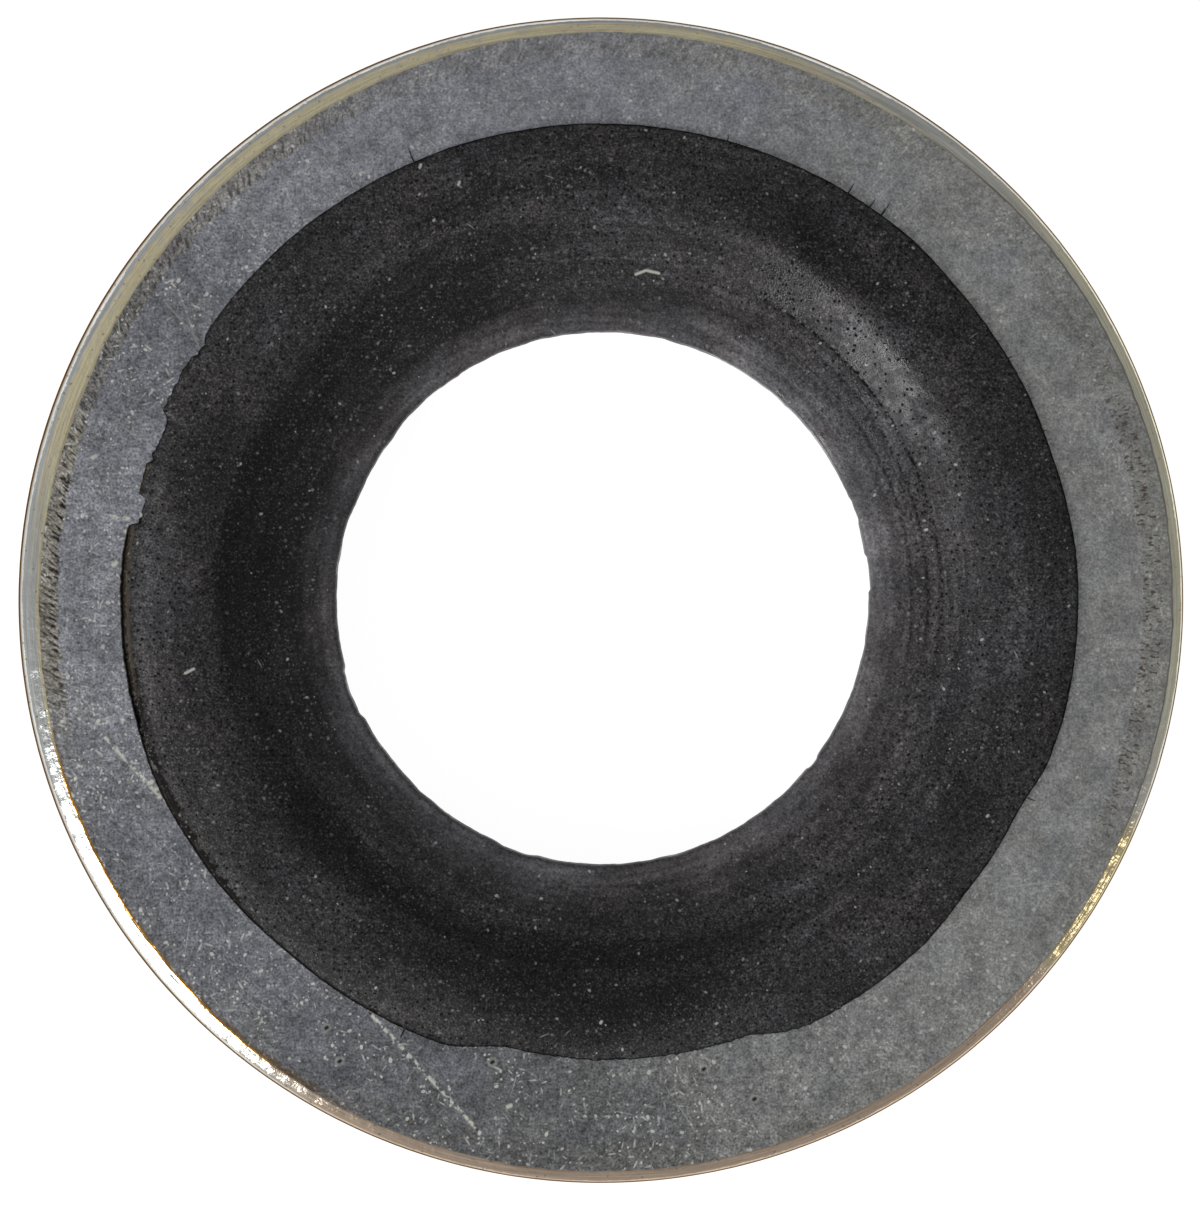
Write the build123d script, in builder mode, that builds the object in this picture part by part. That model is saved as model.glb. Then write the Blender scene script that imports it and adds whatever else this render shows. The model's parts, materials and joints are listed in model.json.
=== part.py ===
from build123d import *
import os

# Bonded sealing washer for the drain plug of an oil sump.
#
# A flat steel ring is blanked from strip, and a rubber seal is moulded into its hole and
# vulcanised to the hole's wall. The rubber stands a little proud of both steel faces, so the
# plug's flange squeezes it first and then stops on the steel. Towards the middle the rubber
# thins in two cones to a lip, which grips the plug's thread.
#
# Millimetres. The origin is the centre of the bore at mid thickness. +Z runs along the bore,
# out of the face whose outer edge is rolled.

# --- Driving dimensions -----------------------------------------------------------------

# Across the washer, from the bore outwards
bore_diameter = 11.0
inner_cone_width = 1.5      # shallow cone, thin at the bore
outer_cone_width = 0.87     # steep cone, up to the crown
crown_width = 1.38
shoulder_width = 0.2        # falls from the crown to the groove's brink
groove_width = 0.15         # narrow groove beside the steel, left by the mould
ring_width = 2.3

# Through the steel
ring_thickness = 1.9
die_roll_radius = 0.45      # outer edge, top: drawn down as the blank was cut
burr_edge_break = 0.08      # outer edge, bottom: the sheared edge, knocked off by tumbling
hole_edge_radius = 0.04     # both edges of the hole, barely broken

# Through the rubber
crown_height = 0.35         # above the steel face, at the middle of the crown
crest_drop = 0.07           # from the middle of the crown to its inner side
shoulder_drop = 0.11        # from the middle of the crown to its outer side
brink_drop = 0.21           # from the middle of the crown to the groove's brink
groove_depth = 0.15         # below the steel face
step_thickness = 1.48       # where the two cones meet
lip_thickness = 0.84        # at the bore

# Rounding of the rubber's corners
lip_round = 0.12
step_round = 0.3
crest_round = 0.35
shoulder_round = 0.2
brink_round = 0.05

# --- Sizes that follow from them --------------------------------------------------------

bore_radius = bore_diameter / 2
step_radius = bore_radius + inner_cone_width
crest_radius = step_radius + outer_cone_width
crown_radius = crest_radius + crown_width / 2
shoulder_radius = crest_radius + crown_width
groove_radius = shoulder_radius + shoulder_width
ring_hole_radius = groove_radius + groove_width
ring_radius = ring_hole_radius + ring_width

face_height = ring_thickness / 2
crown_top = face_height + crown_height
crest_height = crown_top - crest_drop
shoulder_height = crown_top - shoulder_drop
brink_height = crown_top - brink_drop
groove_height = face_height - groove_depth
step_height = step_thickness / 2
lip_height = lip_thickness / 2

same_place = 1e-6           # two corners closer than this lie at one radius


def corners_at(radius):
    """The open section's corners that lie at one distance from the axis."""
    return vertices().filter_by(lambda corner: abs(corner.X - radius) < same_place)


def outer_corners_at(radius):
    """Of the corners at one distance from the axis, the lowest and the highest."""
    return ShapeList([corners_at(radius).sort_by(Axis.Y)[end] for end in (0, -1)])


# --- Steel ring -------------------------------------------------------------------------

# A rectangle turned about Z. Blanking leaves a wide soft roll on one outer edge and a sharp
# edge, barely broken, on the other.
with BuildPart() as steel_ring:
    with BuildSketch(Plane.XZ):
        with Locations(((ring_hole_radius + ring_radius) / 2, 0)):
            Rectangle(ring_radius - ring_hole_radius, ring_thickness)
        chamfer(corners_at(ring_radius).sort_by(Axis.Y)[0], length=burr_edge_break)
        fillet(corners_at(ring_radius).sort_by(Axis.Y)[-1], radius=die_roll_radius)
        fillet(corners_at(ring_hole_radius), radius=hole_edge_radius)
    revolve(axis=Axis.Z)
steel_ring.part.label = "steel_ring"

# --- Rubber seal ------------------------------------------------------------------------

# The upper half of the section is drawn from the bore out to the steel and mirrored in the
# mid plane. Its outer wall lies on the wall of the ring's hole, to which it is bonded.
with BuildPart() as rubber_seal:
    with BuildSketch(Plane.XZ):
        with BuildLine():
            lip_land = Line((bore_radius, 0), (bore_radius, lip_height))
            inner_cone = Line(lip_land @ 1, (step_radius, step_height))
            outer_cone = Line(inner_cone @ 1, (crest_radius, crest_height))
            crown_middle = (crown_radius, crown_top)
            crown = ThreePointArc(outer_cone @ 1, crown_middle, (shoulder_radius, shoulder_height))
            shoulder = Line(crown @ 1, (groove_radius, brink_height))
            groove_side = Line(shoulder @ 1, (groove_radius, groove_height))
            groove_floor = Line(groove_side @ 1, (ring_hole_radius, groove_height))
            Line(groove_floor @ 1, (ring_hole_radius, 0))
            mirror(about=Plane.XZ)
        make_face()
        fillet(corners_at(bore_radius), radius=lip_round)
        fillet(corners_at(step_radius), radius=step_round)
        fillet(corners_at(crest_radius), radius=crest_round)
        fillet(corners_at(shoulder_radius), radius=shoulder_round)
        fillet(outer_corners_at(groove_radius), radius=brink_round)
    revolve(axis=Axis.Z)
rubber_seal.part.label = "rubber_seal"

# --- Files ------------------------------------------------------------------------------

os.makedirs("parts", exist_ok=True)
for piece in (steel_ring.part, rubber_seal.part):
    export_step(piece, f"parts/{piece.label}.step")
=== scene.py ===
# %% [markdown]
# # Bonded sealing washer
#
# A drain plug washer: a flat steel ring with a seal of black rubber moulded into its hole.
# The solids hold the sizes. This script dresses them: it rebuilds both pieces as fine
# meshes with the small unevenness of a blanked ring and a moulded seal, and gives each the
# finish of its real substance. Blender works in metres. The sizes written here are in
# millimetres, and MM turns them to metres at the last moment.

# %% Load the frame and keep the box of the solids
import json
import math

import bpy
import numpy as np
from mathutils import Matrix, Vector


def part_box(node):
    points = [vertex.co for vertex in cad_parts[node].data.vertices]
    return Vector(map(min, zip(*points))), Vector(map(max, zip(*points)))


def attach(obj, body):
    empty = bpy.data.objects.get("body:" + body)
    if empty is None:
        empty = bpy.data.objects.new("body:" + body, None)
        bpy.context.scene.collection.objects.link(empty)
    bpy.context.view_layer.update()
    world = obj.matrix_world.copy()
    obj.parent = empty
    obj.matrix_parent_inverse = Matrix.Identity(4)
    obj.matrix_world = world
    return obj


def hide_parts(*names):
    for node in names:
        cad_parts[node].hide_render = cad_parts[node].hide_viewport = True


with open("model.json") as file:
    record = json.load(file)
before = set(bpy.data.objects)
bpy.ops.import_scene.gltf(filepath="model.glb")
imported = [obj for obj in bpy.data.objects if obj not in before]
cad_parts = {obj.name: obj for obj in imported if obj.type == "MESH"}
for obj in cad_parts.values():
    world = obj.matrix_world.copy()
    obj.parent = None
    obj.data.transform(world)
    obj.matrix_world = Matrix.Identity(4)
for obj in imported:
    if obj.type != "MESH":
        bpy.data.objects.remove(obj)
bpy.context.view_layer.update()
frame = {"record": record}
MM = 0.001

# %% [markdown]
# ## Sizes
#
# A fine mesh has to lie where its solid lies, so its sizes are read from the solids: the
# outside, the thicknesses and the hole in the steel. The bore comes from the mount in the
# record. Only the shape of the section between them is written here.

# %% Read the sizes
_, steel_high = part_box("steel_ring")
rubber_low, rubber_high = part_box("rubber_seal")
bore_mount = next(mount for mount in frame["record"]["mounts"] if mount["name"] == "bore")

ring_radius = steel_high.x / MM
face_height = steel_high.z / MM
hole_radius = rubber_high.x / MM
crown_top = rubber_high.z / MM
bore_radius = bore_mount["dims"]["r_mm"]
print("ring", ring_radius, "hole", hole_radius, "bore", bore_radius)
print("steel face at", face_height, "rubber crown at", crown_top)

# %% [markdown]
# ## Unevenness round the ring
#
# Nothing that is blanked and moulded is perfectly round. Three curves by angle make that
# unevenness. A few waves of different length, added up with seeded phases, give a wander
# that closes on itself. A hump is one smooth bulge, and a plateau is a stretch with a
# smooth step at each end. Angles run anticlockwise from +X, seen from above.

# %% Curves by angle
def steps_round(count):
    """The angles of this many equal steps round the ring, in radians."""
    return np.arange(count) * 2 * math.pi / count


def wander(turn, waves, seed):
    """A curve round the ring, about one unit high, from waves of these counts."""
    draw = np.random.default_rng(seed)
    curve = np.zeros(len(turn))
    for count in waves:
        curve += np.sin(count * turn + draw.uniform(0, 2 * math.pi)) * draw.uniform(0.5, 1)
    return curve / math.sqrt(len(waves))


def degrees_from(turn, angle):
    """How far each step is from this angle, in degrees, the short way round."""
    return np.abs(np.degrees(np.angle(np.exp(1j * (turn - math.radians(angle))))))


def hump(turn, angle, half_width):
    """One smooth bulge, 1 high at this angle and 0 past its half width, in degrees."""
    return np.clip(1 - (degrees_from(turn, angle) / half_width) ** 2, 0, 1) ** 2


def plateau(turn, start, end, edge):
    """1 from start to end and 0 outside, with a smooth step of this width at each end."""
    inside = (end - start) / 2 - degrees_from(turn, (start + end) / 2)
    share = np.clip(inside / edge + 0.5, 0, 1)
    return share * share * (3 - 2 * share)


steel_turn = steps_round(1600)
seal_turn = steps_round(1100)
print("steel steps:", round(2 * math.pi * hole_radius / len(steel_turn), 3), "mm at the hole")

# %% [markdown]
# ## Building a turned mesh
#
# A ring like this could be a turned profile with a screw modifier, but then each step round
# would be the same. Here the radius and height of each point of the section are grids, one
# row for each step round, so the edges may wander and still close as one solid skin. The
# sum of the volumes under the faces says whether they all look outwards: it is positive
# when they do, and it should come out near the volume of the solid.

# %% A closed ring of quads from two grids
def new_object(name, data):
    """An object with this name and data, in the scene."""
    made = bpy.data.objects.new(name, data)
    bpy.context.scene.collection.objects.link(made)
    return made


def turned_mesh(name, turn, radius, height):
    """A ring-shaped mesh. radius and height, in mm, have a row per step and a column per point."""
    rows, columns = radius.shape
    x = radius * np.cos(turn)[:, None]
    y = radius * np.sin(turn)[:, None]
    points = np.stack([x, y, height + 0 * x], -1).reshape(-1, 3)
    index = np.arange(rows * columns).reshape(rows, columns)
    ahead = np.roll(index, -1, 0)
    quads = np.stack([index, ahead, np.roll(ahead, -1, 1), np.roll(index, -1, 1)], -1).reshape(-1, 4)
    first, second, third, fourth = (points[quads[:, corner]] for corner in range(4))
    volume = np.einsum("ij,ij->", first, np.cross(second, third) + np.cross(third, fourth)) / 6
    if volume < 0:
        quads = quads[:, ::-1]
    mesh = bpy.data.meshes.new(name)
    mesh.from_pydata(points * MM, [], quads)
    mesh.polygons.foreach_set("use_smooth", np.ones(len(quads), bool))
    piece = new_object(name, mesh)
    print(name, "triangles", 2 * len(quads), "volume, mm3", round(abs(volume), 1))
    return piece


# %% [markdown]
# ## Where rubber meets steel
#
# The rubber fills the hole in the ring. Seen from above, its edge is uneven: it reaches less
# far in two flat stretches on one side, a little further on the other side, and beside one
# stretch it is torn back in steps. Both pieces use the same wall, so they meet without a gap.

# %% The wall that both pieces share
wall_middle = hole_radius + 0.09

# Each stretch: start and end in degrees, the width of its steps, how far out the rubber goes
wall_stretches = [
    (-105.5, -67.5, 9, -0.33),
    (-138, -98, 20, -0.10),
    (-66, -43, 6, -0.07),
    (-43, -23, 9, -0.17),
    (-16, 8.5, 4, 0.03),
    (14, 46, 9, -0.045),
    (171, 208, 10, 0.085),
    (167.2, 170.7, 0.5, -0.22),
    (163.0, 167.2, 0.8, -0.05),
    (161.2, 163.0, 0.8, -0.12),
    (157.0, 161.2, 1.2, -0.15),
    (146.6, 149.0, 1.2, -0.09),
]


def wall_radius(turn):
    """The radius of the steel's hole at each step, with its stretches and its rag."""
    radius = np.full(len(turn), wall_middle)
    for start, end, edge, reach in wall_stretches:
        radius += reach * plateau(turn, start, end, edge)
    rag = wander(turn, [47, 61, 83, 109, 137, 171, 211, 257], seed=3)
    fine_rag = wander(turn, [263, 307, 359, 401, 433], seed=4)
    torn = plateau(turn, 146, 171, 3) + 0.5 * plateau(turn, -100, -58, 6)
    torn += 0.3 * plateau(turn, 171, 205, 6)
    radius += 0.006 * wander(turn, [9, 13, 17, 23, 31], seed=5) + 0.004 * rag
    return radius + (0.016 * rag + 0.014 * fine_rag) * torn


print("wall, mm:", wall_radius(steel_turn).min().round(3), "to", wall_radius(steel_turn).max().round(3))

# %% [markdown]
# ## Steel ring
#
# Low carbon strip, blanked in a press, tumbled and zinc plated. Blanking draws the top edge
# down into a soft roll, leaves a smooth sheared band below it and a rougher torn band at
# the bottom, which ends in a nearly sharp edge. The roll starts with a clear crease, runs
# down as a shallow cone and then turns into the side. It is about twice as wide on one side
# of the ring, where the blank sat off the punch's centre. A second point close to each
# corner keeps the smooth shading of the flat face out of the corner.

# %% The ring's outer edge
# Pairs of angle and width of the roll, in degrees and mm.
roll_widths = [
    (0, 0.245),
    (30, 0.27),
    (60, 0.36),
    (90, 0.317),
    (110, 0.39),
    (135, 0.476),
    (158, 0.53),
    (180, 0.45),
    (200, 0.41),
    (220, 0.378),
    (232, 0.33),
    (242, 0.28),
    (270, 0.25),
]
cone_slope = 17
cone_share = 0.5
crease = 0.006

steel_wall = wall_radius(steel_turn)
width_angles, widths = zip(*roll_widths)
roll_width = np.interp(np.degrees(steel_turn), width_angles, widths, period=360)
roll_width += 0.012 * wander(steel_turn, [7, 11, 16, 23], seed=11)
roll_width += 0.009 * wander(steel_turn, [53, 71, 97, 131, 179], seed=12)
outer_radius = ring_radius - 0.006 + 0.005 * wander(steel_turn, [2, 3, 4, 9], seed=13)
roll_start = outer_radius - roll_width
print("roll, mm:", roll_width.min().round(3), "to", roll_width.max().round(3))

# %% The roll: from the crease down to the side
def roll_section():
    """The points of the roll, as pairs of radius and height, each with a value per step."""
    slope = math.radians(cone_slope)
    cone_width = cone_share * roll_width
    arc_radius = (1 - cone_share) * roll_width / (1 - math.sin(slope))
    points = []
    for share in (0.0, 0.3, 0.65, 1.0):
        out = share * cone_width
        points.append((roll_start + out, face_height - out * math.tan(slope)))
    last_radius, last_height = points[-1]
    for lean in np.linspace(slope, math.pi / 2, 13)[1:]:
        out = arc_radius * (math.sin(lean) - math.sin(slope))
        down = arc_radius * (math.cos(slope) - math.cos(lean))
        points.append((last_radius + out, last_height - down))
    return points


# %% The whole section of the ring
bottom_break = 0.08
hole_break = 0.02
torn_height = 0.8
torn_taper = 0.03
torn_line = -face_height + torn_height + 0.06 * wander(steel_turn, [5, 8, 13, 21, 34], seed=14)


def steel_section():
    """The section's points from the wall out over the top face, down the side and back."""
    brink = steel_wall + hole_break
    points = [(brink, face_height), (brink + crease, face_height)]
    points += [(brink + share * (roll_start - brink), face_height) for share in (0.3, 0.65, 0.9)]
    points += [(roll_start - crease, face_height)] + roll_section()
    side_top = points[-1][1]
    side_bottom = -face_height + bottom_break
    for share in (0.15, 0.35, 0.5, 0.65, 0.8, 0.92, 1.0):
        level = side_top + (side_bottom - side_top) * share
        torn = np.clip((torn_line - level) / torn_height, 0, 1)
        points.append((outer_radius - torn_taper * torn, level))
    bottom_edge = outer_radius - torn_taper - bottom_break
    points += [(bottom_edge, -face_height), (bottom_edge - crease, -face_height)]
    points += [(brink + share * (bottom_edge - brink), -face_height) for share in (0.9, 0.5, 0.1)]
    points += [(brink + crease, -face_height), (brink, -face_height)]
    for level in (-face_height + hole_break, -face_height + hole_break + crease, 0.0):
        points.append((steel_wall, level))
    points += [(steel_wall, face_height - hole_break - crease), (steel_wall, face_height - hole_break)]
    return points


def as_grids(points, turn):
    """Two grids, radius and height, with a row per step, from pairs of numbers or curves."""
    even = np.ones(len(turn))
    return [np.stack([pair[side] * even for pair in points], 1) for side in (0, 1)]


steel = turned_mesh("plated_steel_ring", steel_turn, *as_grids(steel_section(), steel_turn))

# %% [markdown]
# ## Rubber seal
#
# Black nitrile rubber, pressed and cured in a heated mould, where it bonds to the steel. The
# mould was turned on a lathe, and its fine rings show on the shallow cone by the bore. The
# section rises from the thin lip over two cones to a low crown, and falls to a narrow
# groove beside the steel. The corners of the section are softened as a whole: a line
# through them is smoothed with a bell-shaped window, as rubber leaves a mould.

# %% The seal's upper surface
section_corners = [
    (5.5, 0.42),
    (7.0, 0.74),
    (7.87, 1.23),
    (8.2, 1.282),
    (8.56, 1.30),
    (8.95, 1.26),
    (9.25, 1.19),
    (9.43, 1.10),
]
softness = 0.30
corner_radius, corner_height = zip(*section_corners)
brink_radius = section_corners[-1][0]

fine_step = 0.005
window_reach = 0.2
fine_radius = np.arange(bore_radius, brink_radius, fine_step)
fine_height = np.interp(fine_radius, corner_radius, corner_height)
window_place = np.arange(-window_reach, window_reach + 0.0001, fine_step)
window = np.exp(-0.5 * (window_place / softness * 2) ** 2)
padded = np.pad(fine_height, len(window) // 2, mode="reflect", reflect_type="odd")
soft_height = np.convolve(padded, window / window.sum(), "valid")

# The mould's lathe rings: radius and depth in mm. Each is drawn about twice as wide as the
# real hairline, so that it shows.
lathe_rings = [
    (6.97, 0.009),
    (6.69, 0.008),
    (6.39, 0.006),
    (6.25, 0.007),
    (6.06, 0.004),
    (5.92, 0.004),
]
line_width = 0.04


def seal_height(radius):
    """Height of the seal's top at this radius, with its lathe rings."""
    level = np.interp(radius, fine_radius, soft_height)
    for ring, depth in lathe_rings:
        level = level - depth * np.exp(-(((radius - ring) / line_width) ** 2))
    return level


# %% Points across the seal
lip_round = 0.12
ring_points = [ring + side * line_width for ring, _ in lathe_rings for side in (-1.2, 0, 1.2)]
plain_points = list(np.linspace(bore_radius + lip_round, 7.6, 9)) + list(np.linspace(7.7, 8.2, 5))
edge_points = [8.56, 8.95, 9.15, 9.25, 9.34, 9.40, brink_radius]
stations = np.array(sorted(ring_points + plain_points + edge_points))
coarse_points = [bore_radius + lip_round, 6.0, 6.6, 6.9, 7.1, 7.5, 7.75, 7.9, 8.1]
coarse_stations = np.array(coarse_points + edge_points)
print("points across the top and the underside:", len(stations), len(coarse_stations))

# %% [markdown]
# The groove beside the steel is hardly open on most of the ring, a ragged hairline with a
# dot here and there, and about 0.15 mm wide along the stretch where the rubber reaches
# furthest out. At the bore the lip's edge wanders, with a few nicks where the mould's
# flash was torn off.

# %% Groove and bore, by angle
seal_wall = wall_radius(seal_turn)
wide_part = plateau(seal_turn, 171.5, 197, 6)
groove_width = 0.016 + 0.14 * wide_part + 0.03 * plateau(seal_turn, 145, 157, 3)
groove_width += 0.035 * plateau(seal_turn, 200, 252, 8)
groove_width += 0.012 * wander(seal_turn, [29, 43, 67, 101, 151], seed=24)
open_gaps = [(166.2, 0.10), (164.5, 0.06), (162.0, 0.08), (157.4, 0.12), (150.5, 0.05), (-118.5, 0.06)]
for angle, gap in open_gaps:
    groove_width += gap * hump(seal_turn, angle, 0.7)
draw = np.random.default_rng(26)
for angle, gap in zip(draw.uniform(-180, 180, 70), draw.uniform(0.015, 0.05, 70)):
    groove_width += gap * hump(seal_turn, angle, 0.6)
groove_width = np.maximum(groove_width, 0.006)
groove_floor = face_height - 0.025 - 0.065 * wide_part
groove_round = 0.03
embed = 0.01

bore_line = bore_radius - 0.035 + 0.04 * np.cos(seal_turn) + 0.038 * np.sin(seal_turn)
bore_stretches = [
    (-165, -154, 2, 0.06),
    (-146, -113, 3, -0.02),
    (-112, -105, 3, 0.018),
    (-39, -36, 1, 0.03),
    (2, 9.5, 1, 0.04),
    (17, 22, 1.5, 0.035),
    (139, 160, 6, -0.04),
    (122, 127, 1.5, -0.02),
]
for start, end, edge, reach in bore_stretches:
    bore_line += reach * plateau(seal_turn, start, end, edge)
bore_line += 0.008 * wander(seal_turn, [17, 29, 41, 53, 67], seed=22)
bore_line += 0.0025 * wander(seal_turn, [113, 151, 199], seed=25)
print("bore, mm:", bore_line.min().round(3), "to", bore_line.max().round(3))

# %% The seal's whole section
lip_turns = np.radians([75, 50, 25, 0])
bore_sway = (5.6, 6.3)
wall_sway = (8.7, brink_radius)


def half_section(across):
    """The upper half of the section, from the bore out to the wall, for these stations.

    The bore's unevenness fades out over bore_sway and the wall's fades in over wall_sway.
    """
    lip_level = float(seal_height(bore_radius + lip_round))
    points = []
    for lean in lip_turns[::-1]:
        out, down = 1 - math.cos(lean), 1 - math.sin(lean)
        points.append((bore_line + lip_round * out, lip_level - lip_round * down))
    brink = seal_wall - groove_width
    for station in across:
        radius = np.full(len(seal_turn), station)
        radius += (bore_line - bore_radius) * np.interp(station, bore_sway, (1, 0))
        radius += (brink - brink_radius) * np.interp(station, wall_sway, (0, 1)) ** 1.5
        points.append((radius, float(seal_height(station))))
    brink_height = points[-1][1]
    points.append((brink + 0.1 * groove_width, brink_height - groove_round))
    points.append((brink + 0.4 * groove_width, groove_floor + groove_round))
    points.append((seal_wall + embed, groove_floor))
    return points


top = half_section(stations)
underside = [(radius, -height) for radius, height in half_section(coarse_stations)]
seal = turned_mesh("moulded_rubber_seal", seal_turn, *as_grids(top + underside[::-1], seal_turn))

# %% [markdown]
# ## Flash
#
# In a few places a sliver of rubber as thin as paper was squeezed over the steel when the
# mould closed. Each is a flat wedge that starts in the seal and ends in a point on the
# steel. They belong to the rubber, so they are joined to its mesh.

# %% Slivers of flash on the steel
flash_slivers = [
    (-3.86, 9.06, 0.30, 0.05),
    (5.10, 8.38, 0.22, 0.05),
    (5.51, 8.04, 0.28, 0.06),
    (5.82, 7.98, 0.26, 0.05),
    (8.74, -4.05, 0.24, 0.04),
    (-4.05, -8.86, 0.16, 0.05),
    (2.60, 9.42, 0.10, 0.04),
    (8.35, 4.95, 0.10, 0.04),
    (8.77, 4.10, 0.12, 0.03),
    (9.05, 3.45, 0.10, 0.04),
]
flash_thickness = 0.015
flash_sunk = 0.002
flash_root = 0.12
tip_share = 0.2


def wedge(x, y, length, width):
    """A flat closed wedge whose tip is at x, y and which points away from the axis."""
    out = np.array([x, y]) / math.hypot(x, y)
    across = np.array([-out[1], out[0]]) * width / 2
    tip = np.array([x, y]) + out * length / 2
    root = tip - out * (length + flash_root)
    corners = [root - across, root + across, tip + across * tip_share, tip - across * tip_share]
    low = [(*corner, face_height - flash_sunk) for corner in corners]
    high = [(*corner, face_height + flash_thickness) for corner in corners]
    return low + high


wedge_faces = [(3, 2, 1, 0), (4, 5, 6, 7), (0, 1, 5, 4), (1, 2, 6, 5), (2, 3, 7, 6), (3, 0, 4, 7)]
flash_points = []
flash_faces = []
for sliver in flash_slivers:
    start = len(flash_points)
    flash_points += wedge(*sliver)
    flash_faces += [[start + corner for corner in face] for face in wedge_faces]
flash_mesh = bpy.data.meshes.new("rubber_flash")
flash_mesh.from_pydata([[side * MM for side in point] for point in flash_points], [], flash_faces)
flash = new_object("rubber_flash", flash_mesh)
with bpy.context.temp_override(active_object=seal, selected_editable_objects=[seal, flash]):
    bpy.ops.object.join()
print("slivers:", len(flash_slivers))

# %% [markdown]
# ## Materials
#
# Colours are written as the hex values that a paint chart would give, and one function turns
# them to the linear values that the shader needs. One more function adds a node.

# %% Colours and nodes
COLOUR_A = 6
COLOUR_B = 7
COLOUR_OUT = 2


def linear(hex_colour):
    """A hex sRGB colour as linear red, green, blue and alpha."""
    shares = [int(hex_colour[place : place + 2], 16) / 255 for place in (1, 3, 5)]
    return [s / 12.92 if s <= 0.04045 else ((s + 0.055) / 1.055) ** 2.4 for s in shares] + [1]


def add(tree, kind, inputs=(), out=0, **settings):
    """Adds a node of this kind, fills or links its inputs, and returns one of its outputs.

    A kind that can do several sums has the sum's name after a space. The inputs are a list in
    the order of the sockets, or a dictionary by their numbers or names.
    """
    kind, _, operation = kind.partition(" ")
    made = tree.nodes.new("ShaderNode" + kind)
    if operation:
        made.operation = operation
    for setting, value in settings.items():
        setattr(made, setting, value)
    for socket, value in inputs.items() if isinstance(inputs, dict) else enumerate(inputs):
        if isinstance(value, bpy.types.NodeSocket):
            tree.links.new(value, made.inputs[socket])
        else:
            made.inputs[socket].default_value = value
    return made.outputs[out]


# %% [markdown]
# Both finishes are drawn in millimetres on the piece itself, so they share their
# coordinates: the place on the piece, the same place seen flat from above, the direction
# from the axis, the distance from it, the angle round it, and the height.

# %% Shared coordinates
def new_finish(name):
    """A material with its node tree, its main shader, and the shared coordinates in mm."""
    material = bpy.data.materials.new(name)
    material.use_nodes = True
    tree = material.node_tree
    place = add(tree, "TexCoord", out="Object")
    place = add(tree, "VectorMath SCALE", {0: place, "Scale": 1 / MM})
    flat = add(tree, "VectorMath MULTIPLY", [place, (1, 1, 0)])
    side = add(tree, "VectorMath NORMALIZE", [flat])
    reach = add(tree, "VectorMath LENGTH", [flat], "Value")
    height = add(tree, "SeparateXYZ", [place], "Z")
    parts = height.node.outputs
    turn = add(tree, "Math ARCTAN2", [parts["Y"], parts["X"]])
    at = {"place": place, "flat": flat, "side": side, "reach": reach, "turn": turn, "height": height}
    return material, tree, tree.nodes["Principled BSDF"], at


# %% [markdown]
# Next come the patterns. A sector is a part of the ring. Patches are soft spots at named
# places. Strokes are marks that lie in one known place: the shader measures how far each
# point is from the stroke's middle line. Scattered marks are one to a cell of a Voronoi
# pattern, each turned its own way. A round-the-ring grain is noise that is stretched either
# across the ring or along it.

# %% Sectors and patches
def sector(tree, at, angle, inner, outer, strength=1.0):
    """This strength within inner degrees of an angle round the ring, and 0 past outer degrees."""
    towards = (math.cos(math.radians(angle)), math.sin(math.radians(angle)), 0)
    near = add(tree, "VectorMath DOT_PRODUCT", [at["side"], towards], "Value")
    low, high = math.cos(math.radians(outer)), math.cos(math.radians(inner))
    fade = {0: near, 1: low, 2: high, 4: strength}
    return add(tree, "MapRange", fade, interpolation_type="SMOOTHSTEP")


def patches(tree, at, places):
    """The sum of soft spots: angle, radius, half angle, half width in mm, and strength."""
    total = 0.0
    for angle, radius, half_angle, half_width, strength in places:
        middle, half = math.radians(angle), math.radians(half_angle)
        turn = add(tree, "Math WRAP", [at["turn"], middle + math.pi, middle - math.pi])
        away = add(tree, "CombineXYZ", {"X": turn, "Y": at["reach"]})
        fit = [away, (1 / half, 1 / half_width, 0), (-middle / half, -radius / half_width, 0)]
        away = add(tree, "VectorMath MULTIPLY_ADD", fit)
        away = add(tree, "VectorMath LENGTH", [away], "Value")
        fade = [away, 0.3, 1.3, strength, 0.0]
        spot = add(tree, "MapRange", fade, interpolation_type="SMOOTHSTEP")
        total = add(tree, "Math", [total, spot])
    return total


# %% Strokes and scattered marks
def strokes(tree, at, lines, half_width, strength=1.0):
    """A mask, strongest on the middle of each line, 0 past its half width. Lines are x, y, x, y."""
    fade = [half_width * 0.3, half_width, strength, 0.0]
    mask = 0.0
    for x0, y0, x1, y1 in lines:
        along = (x1 - x0, y1 - y0, 0)
        per_length = [side / (along[0] ** 2 + along[1] ** 2) for side in along]
        off = add(tree, "VectorMath SUBTRACT", [at["flat"], (x0, y0, 0)])
        share = add(tree, "VectorMath DOT_PRODUCT", [off, per_length], "Value")
        share = add(tree, "Clamp", {"Value": share})
        nearest = add(tree, "VectorMath SCALE", {0: along, "Scale": share})
        away = add(tree, "VectorMath DISTANCE", [off, nearest], "Value")
        line = add(tree, "MapRange", [away, *fade])
        mask = add(tree, "Math MAXIMUM", [mask, line])
    return mask


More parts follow.
